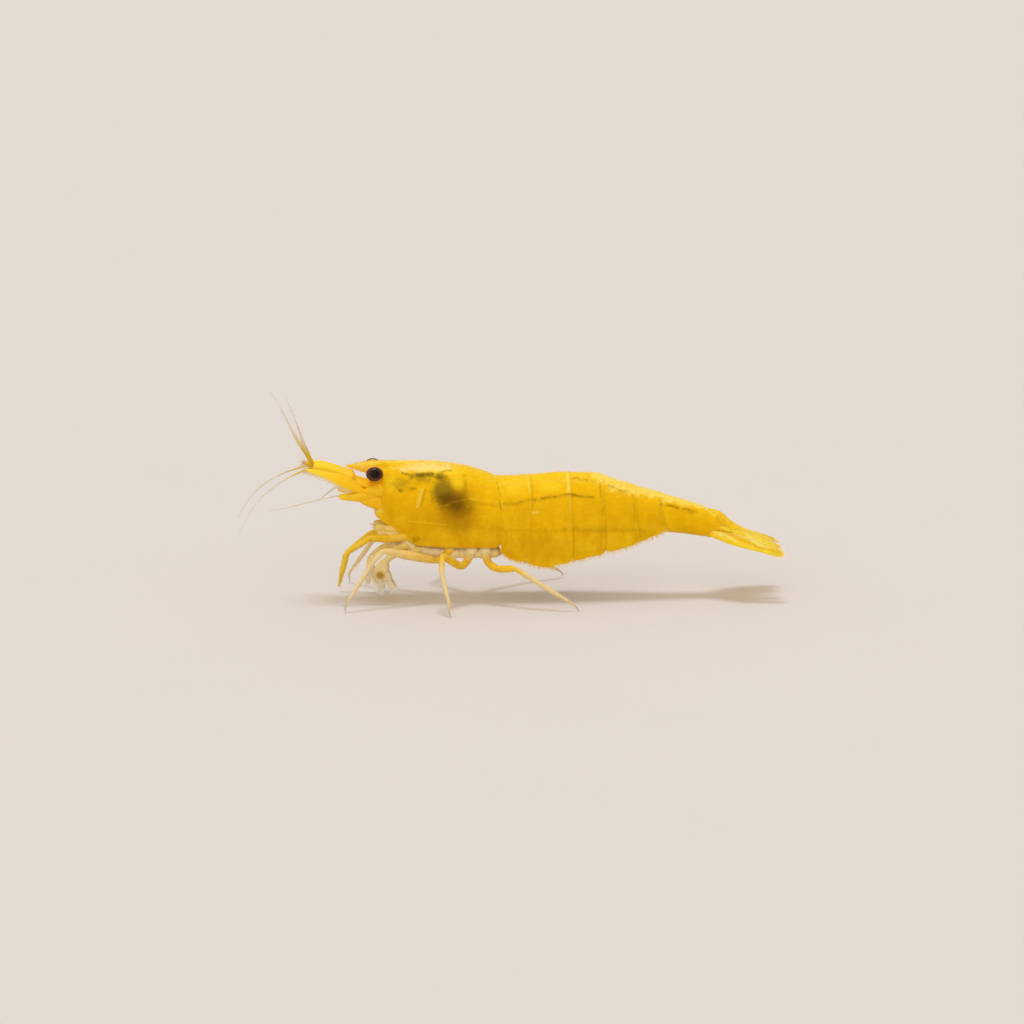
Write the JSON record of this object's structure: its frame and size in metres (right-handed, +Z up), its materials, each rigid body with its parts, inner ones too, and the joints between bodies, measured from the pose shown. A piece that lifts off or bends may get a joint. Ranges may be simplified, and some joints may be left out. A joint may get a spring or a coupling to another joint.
{
  "type": "aquarium shrimp",
  "caption": "Still, life-size museum model of a yellow dwarf aquarium shrimp standing on its walking legs, with feelers, eyes, shelled tail and tail fan, for display.",
  "frame": {"origin": "bottom centre of the bounding box, on the floor that the feet stand on", "axes": "+X from head to tail, +Y to the animal's right side, +Z up"},
  "size_m": [0.0344, 0.0134, 0.0133],
  "materials": {
    "shell_yellow": "thin translucent shell, soft gloss, bright yellow with olive marks",
    "eye_black": "glossy black facetted eye with a brown rim",
    "limb_deep_yellow": "translucent deep yellow limb",
    "limb_pale_yellow": "translucent pale yellow limb and feeler",
    "tissue_clear_yellow": "clear, faintly yellow tissue"
  },
  "bodies": {
    "root": {"abdomen_1": "shell_yellow", "abdomen_2": "shell_yellow", "abdomen_3": "shell_yellow", "abdomen_4": "shell_yellow", "abdomen_5": "shell_yellow", "abdomen_6": "shell_yellow", "antenna_base_left": "shell_yellow", "antenna_base_right": "shell_yellow", "antenna_flagellum_left": "limb_pale_yellow", "antenna_flagellum_right": "limb_pale_yellow", "antennal_scale_left": "shell_yellow", "antennal_scale_right": "shell_yellow", "antennule_inner_flagellum_left": "limb_pale_yellow", "antennule_inner_flagellum_right": "limb_pale_yellow", "antennule_left": "shell_yellow", "antennule_outer_flagellum_left": "limb_pale_yellow", "antennule_outer_flagellum_right": "limb_pale_yellow", "antennule_right": "shell_yellow", "carapace": "shell_yellow", "cheliped_1_left": "tissue_clear_yellow", "cheliped_1_right": "tissue_clear_yellow", "cheliped_2_left": "tissue_clear_yellow", "cheliped_2_right": "tissue_clear_yellow", "eye_left": "eye_black", "eye_right": "eye_black", "eyestalk_left": "tissue_clear_yellow", "eyestalk_right": "tissue_clear_yellow", "leg_3_lower_left": "limb_pale_yellow", "leg_3_lower_right": "limb_pale_yellow", "leg_3_upper_left": "limb_deep_yellow", "leg_3_upper_right": "limb_deep_yellow", "leg_4_lower_left": "limb_pale_yellow", "leg_4_lower_right": "limb_pale_yellow", "leg_4_upper_left": "limb_deep_yellow", "leg_4_upper_right": "limb_deep_yellow", "leg_5_lower_left": "limb_pale_yellow", "leg_5_lower_right": "limb_pale_yellow", "leg_5_upper_left": "limb_deep_yellow", "leg_5_upper_right": "limb_deep_yellow", "maxilliped_left": "limb_deep_yellow", "maxilliped_right": "limb_deep_yellow", "mouthparts": "tissue_clear_yellow", "rostrum": "shell_yellow", "swimmeret_1_left": "tissue_clear_yellow", "swimmeret_1_right": "tissue_clear_yellow", "swimmeret_2_left": "tissue_clear_yellow", "swimmeret_2_right": "tissue_clear_yellow", "swimmeret_3_left": "tissue_clear_yellow", "swimmeret_3_right": "tissue_clear_yellow", "swimmeret_4_left": "tissue_clear_yellow", "swimmeret_4_right": "tissue_clear_yellow", "swimmeret_5_left": "tissue_clear_yellow", "swimmeret_5_right": "tissue_clear_yellow", "telson": "shell_yellow", "uropod_inner_left": "shell_yellow", "uropod_inner_right": "shell_yellow", "uropod_outer_left": "shell_yellow", "uropod_outer_right": "shell_yellow"}
  },
  "joints": []
}
